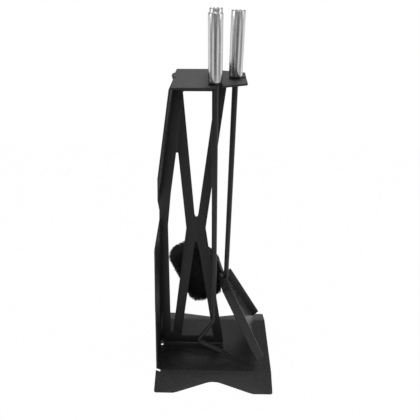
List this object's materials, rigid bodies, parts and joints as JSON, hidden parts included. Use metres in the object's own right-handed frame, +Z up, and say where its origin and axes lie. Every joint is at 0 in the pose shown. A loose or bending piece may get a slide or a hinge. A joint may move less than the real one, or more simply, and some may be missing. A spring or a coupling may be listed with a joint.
{
  "type": "fireplace tool set",
  "caption": "Fireplace tool set: a folded black sheet stand with a lattice upright holds a poker, a shovel and a brush in open slots.",
  "frame": {"origin": "on the floor, under the middle of the base", "axes": "+Z up; the stand's open front faces -Y and its closed side is at -X"},
  "size_m": [0.244, 0.2288, 0.7032],
  "materials": {
    "black_steel": "satin black powder coat",
    "black_bar": "satin black",
    "black_collar": "satin black",
    "brushed_grip": "brushed stainless",
    "polished_cap": "fine turned",
    "black_block": "matt",
    "bristle": "matt fibre"
  },
  "bodies": {
    "stand": {"base_sheet": "black_steel", "lattice_panel": "black_steel", "top_sheet": "black_steel"},
    "poker": {"poker_rod": "black_bar", "poker_collar": "black_collar", "poker_grip": "brushed_grip", "poker_cap": "polished_cap"},
    "shovel": {"shovel_rod": "black_bar", "shovel_blade": "black_steel", "shovel_collar": "black_collar", "shovel_grip": "brushed_grip", "shovel_cap": "polished_cap"},
    "brush": {"brush_rod": "black_bar", "brush_block": "black_block", "brush_pin": "black_bar", "brush_bristles": "bristle", "brush_collar": "black_collar", "brush_grip": "brushed_grip", "brush_cap": "polished_cap"}
  },
  "joints": [
    {"name": "poker_draw", "type": "slide", "parent": "stand", "child": "poker", "axis": [0.4115, -0.9114, 0], "range_m": [0, 0.07]},
    {"name": "shovel_draw", "type": "slide", "parent": "stand", "child": "shovel", "axis": [1, 0, 0], "range_m": [0, 0.07]},
    {"name": "brush_draw", "type": "slide", "parent": "stand", "child": "brush", "axis": [0.4115, 0.9114, 0], "range_m": [0, 0.07]}
  ]
}
